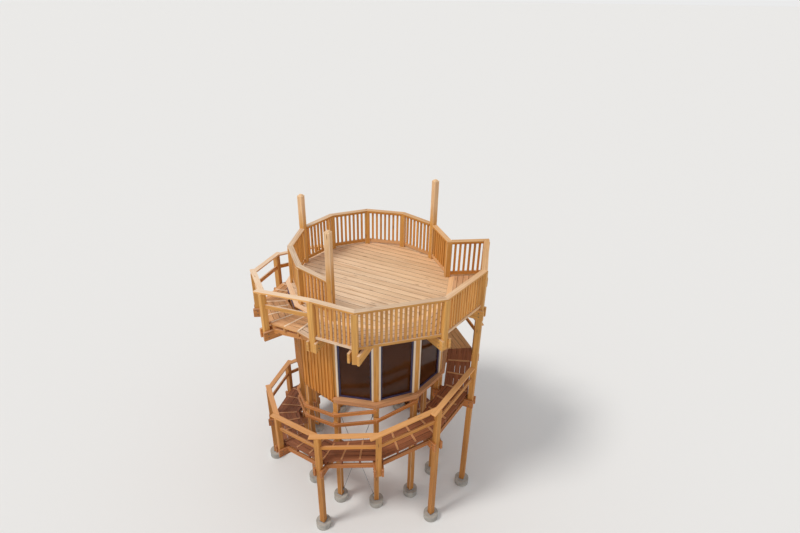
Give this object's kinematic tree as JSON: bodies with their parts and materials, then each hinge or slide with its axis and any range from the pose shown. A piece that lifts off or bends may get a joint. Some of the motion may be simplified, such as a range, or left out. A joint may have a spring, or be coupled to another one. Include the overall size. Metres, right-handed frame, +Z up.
{
  "type": "tree house",
  "caption": "Twelve-sided timber tree house on tall posts, with a glazed cabin front, a roof terrace with balustrade, an outer ring deck and a boarded ramp that winds down round it.",
  "frame": {"origin": "on the ground under the cabin's vertical axis, at the level of the posts' pads and the ramp's foot", "axes": "+Z up; -Y towards the viewer of the glazed front, the cabin's axis is vertical through the origin; the entrance faces between +X and +Y"},
  "size_m": [6.6357, 6.6509, 9.145],
  "materials": {
    "timber": "oiled softwood",
    "pale_timber": "sun-bleached softwood",
    "deck_timber": "planed boards",
    "clad_timber": "oiled vertical boards",
    "shaded_timber": "oiled softwood, darker",
    "frame_dark": "dark matt coating",
    "glass": "dark glazing",
    "membrane": "dark blue roofing membrane",
    "steel": "galvanised",
    "concrete": "cast concrete"
  },
  "bodies": {
    "root": {"footings": "concrete", "post_shoes": "steel", "main_posts": "timber", "outer_posts": "timber", "cabin_floor_beams": "shaded_timber", "cabin_floor": "deck_timber", "window_rim_boards": "timber", "wall_1": "clad_timber", "wall_2": "clad_timber", "wall_3": "clad_timber", "wall_4": "clad_timber", "wall_5": "clad_timber", "wall_6": "clad_timber", "wall_7": "clad_timber", "window_sills": "pale_timber", "window_jambs": "pale_timber", "window_frames": "frame_dark", "window_glass": "glass", "head_beams": "timber", "entrance_frame": "frame_dark", "entrance_door": "frame_dark", "entrance_glass": "glass", "roof_slab": "pale_timber", "roof_rim": "timber", "roof_membrane": "membrane", "terrace_battens": "timber", "terrace_floor": "deck_timber", "terrace_border": "pale_timber", "ring_deck": "deck_timber", "ring_beams": "timber", "terrace_panel_1": "timber", "terrace_panel_2": "timber", "terrace_panel_3": "timber", "terrace_panel_4": "timber", "terrace_panel_5": "timber", "terrace_panel_6": "timber", "terrace_panel_7": "timber", "terrace_panel_8": "timber", "end_panel": "timber", "ring_panel_1": "timber", "ring_panel_2": "timber", "ring_panel_3": "timber", "ring_panel_4": "timber", "upper_ramp": "deck_timber", "lower_ramp": "shaded_timber", "entrance_landing": "deck_timber", "stair_beams": "shaded_timber", "stair_stringers": "shaded_timber", "stair_handrails": "pale_timber", "stair_mid_rails": "timber", "inner_rails": "timber", "rail_blocks": "timber", "tie_rods": "steel"}
  },
  "joints": []
}
